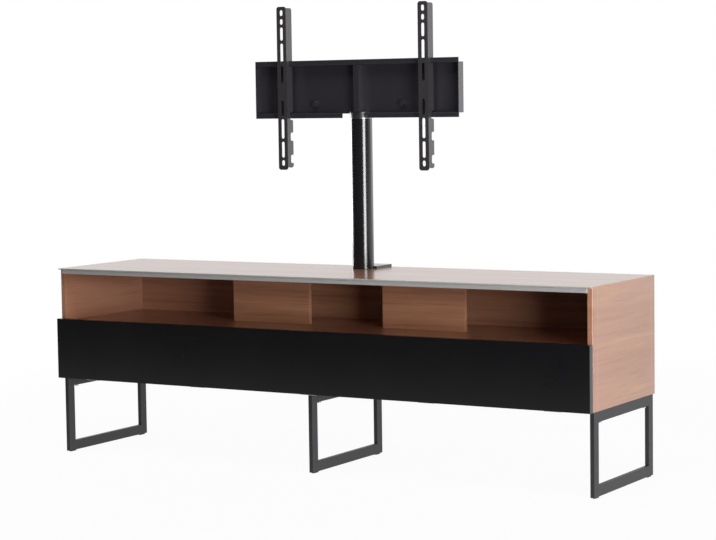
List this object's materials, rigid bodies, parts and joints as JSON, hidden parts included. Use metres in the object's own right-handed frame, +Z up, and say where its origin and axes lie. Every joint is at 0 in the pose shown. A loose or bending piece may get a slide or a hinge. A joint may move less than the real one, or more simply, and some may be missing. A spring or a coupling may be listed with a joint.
{
  "type": "tv stand with mount",
  "caption": "Low television cabinet on sled frames with a fold-down front, an open niche and a rear column that carries a swivelling screen mount with sliding slotted brackets.",
  "frame": {"origin": "middle of the footprint at floor level", "axes": "+X along the width to the viewer's right, +Y from the front to the back, +Z up"},
  "size_m": [1.8, 0.443, 1.365],
  "materials": {
    "walnut_decor": "medium brown walnut decor with a fine straight grain, the top glossy",
    "dowel_wood": "plain beech",
    "black_front": "black lacquered board, satin",
    "frame_black": "black powder coat, fine texture",
    "column_black": "gloss black lacquer",
    "mount_grey": "dark grey powder coat",
    "edge_aluminium": "fine brushed, natural",
    "zinc_steel": "zinc plated",
    "dark_plastic": "fine texture",
    "grey_plastic": "fine texture",
    "pale_plastic": "smooth"
  },
  "bodies": {
    "cabinet": {"side_panel_left": "walnut_decor", "side_panel_right": "walnut_decor", "top_panel": "walnut_decor", "top_trim": "edge_aluminium", "bottom_panel": "walnut_decor", "shelf_panel": "walnut_decor", "back_panel": "walnut_decor", "niche_panel_left": "walnut_decor", "niche_panel_right": "walnut_decor", "center_divider": "walnut_decor", "wood_dowels": "dowel_wood", "cam_discs": "zinc_steel", "cam_bolts": "zinc_steel", "back_screws": "zinc_steel", "leg_frame_left": "frame_black", "leg_frame_middle": "frame_black", "leg_frame_right": "frame_black", "leg_screws": "zinc_steel", "floor_glides": "dark_plastic", "hinge_leaves_body": "zinc_steel", "hinge_pins": "zinc_steel", "hinge_screws_body": "zinc_steel", "stay_plate_left": "zinc_steel", "stay_plate_right": "zinc_steel", "stay_screws_body": "zinc_steel", "latch_body_left": "grey_plastic", "latch_body_right": "grey_plastic", "latch_screws": "zinc_steel", "foot_plate": "column_black", "column_tube": "column_black", "foot_bolts": "zinc_steel", "foot_nuts": "zinc_steel", "foot_screws": "zinc_steel", "counter_plate": "zinc_steel", "swivel_spigot": "zinc_steel", "swivel_washer": "zinc_steel", "swivel_screw": "zinc_steel"},
    "flap": {"flap_front": "black_front", "hinge_leaves_flap": "zinc_steel", "hinge_screws_flap": "zinc_steel", "flap_bracket_left": "zinc_steel", "flap_bracket_right": "zinc_steel", "stay_screws_flap": "zinc_steel", "strike_plates": "zinc_steel"},
    "arm_left": {"stay_arm_left": "zinc_steel"},
    "arm_right": {"stay_arm_right": "zinc_steel"},
    "link_left": {"stay_link_left": "zinc_steel"},
    "link_right": {"stay_link_right": "zinc_steel"},
    "plunger_left": {"latch_plunger_left": "pale_plastic"},
    "plunger_right": {"latch_plunger_right": "pale_plastic"},
    "head": {"head_collar": "mount_grey", "head_post": "mount_grey", "mount_plate": "mount_grey", "post_bolts": "zinc_steel", "web_screws": "mount_grey", "web_nuts": "zinc_steel"},
    "screen_left": {"bracket_left": "mount_grey", "clamp_screw_left": "zinc_steel"},
    "screen_right": {"bracket_right": "mount_grey", "clamp_screw_right": "zinc_steel"}
  },
  "joints": [
    {"name": "flap_fold", "type": "hinge", "parent": "cabinet", "child": "flap", "pos_m": [0, -0.201, 0.2338], "axis": [1, 0, 0], "range_deg": [0, 90]},
    {"name": "arm_left_turn", "type": "hinge", "parent": "cabinet", "child": "arm_left", "pos_m": [-0.8795, -0.0715, 0.265], "axis": [1, 0, 0], "range_deg": [0, 90]},
    {"name": "link_left_turn", "type": "hinge", "parent": "arm_left", "child": "link_left", "pos_m": [-0.875, -0.058, 0.37], "axis": [1, 0, 0], "range_deg": [-90, 0]},
    {"name": "plunger_left_push", "type": "slide", "parent": "cabinet", "child": "plunger_left", "axis": [0, 1, 0], "range_m": [0, 0.003], "stiffness_N_per_m": 300, "springref_m": -0.003},
    {"name": "arm_right_turn", "type": "hinge", "parent": "cabinet", "child": "arm_right", "pos_m": [0.8795, -0.0715, 0.265], "axis": [1, 0, 0], "range_deg": [0, 90]},
    {"name": "link_right_turn", "type": "hinge", "parent": "arm_right", "child": "link_right", "pos_m": [0.875, -0.058, 0.37], "axis": [1, 0, 0], "range_deg": [-90, 0]},
    {"name": "plunger_right_push", "type": "slide", "parent": "cabinet", "child": "plunger_right", "axis": [0, 1, 0], "range_m": [0, 0.003], "stiffness_N_per_m": 300, "springref_m": -0.003},
    {"name": "head_swivel", "type": "hinge", "parent": "cabinet", "child": "head", "pos_m": [0, 0.1235, 1.037], "axis": [0, 0, 1], "range_deg": [-30, 30]},
    {"name": "bracket_left_slide", "type": "slide", "parent": "head", "child": "screen_left", "axis": [1, 0, 0], "range_m": [-0.08, 0.143]},
    {"name": "bracket_right_slide", "type": "slide", "parent": "head", "child": "screen_right", "axis": [1, 0, 0], "range_m": [-0.143, 0.08]}
  ],
  "couplings": [
    {"joint": "arm_left_turn", "follows": "flap_fold", "ratio": 1},
    {"joint": "link_left_turn", "follows": "flap_fold", "ratio": -1},
    {"joint": "arm_right_turn", "follows": "flap_fold", "ratio": 1},
    {"joint": "link_right_turn", "follows": "flap_fold", "ratio": -1}
  ]
}
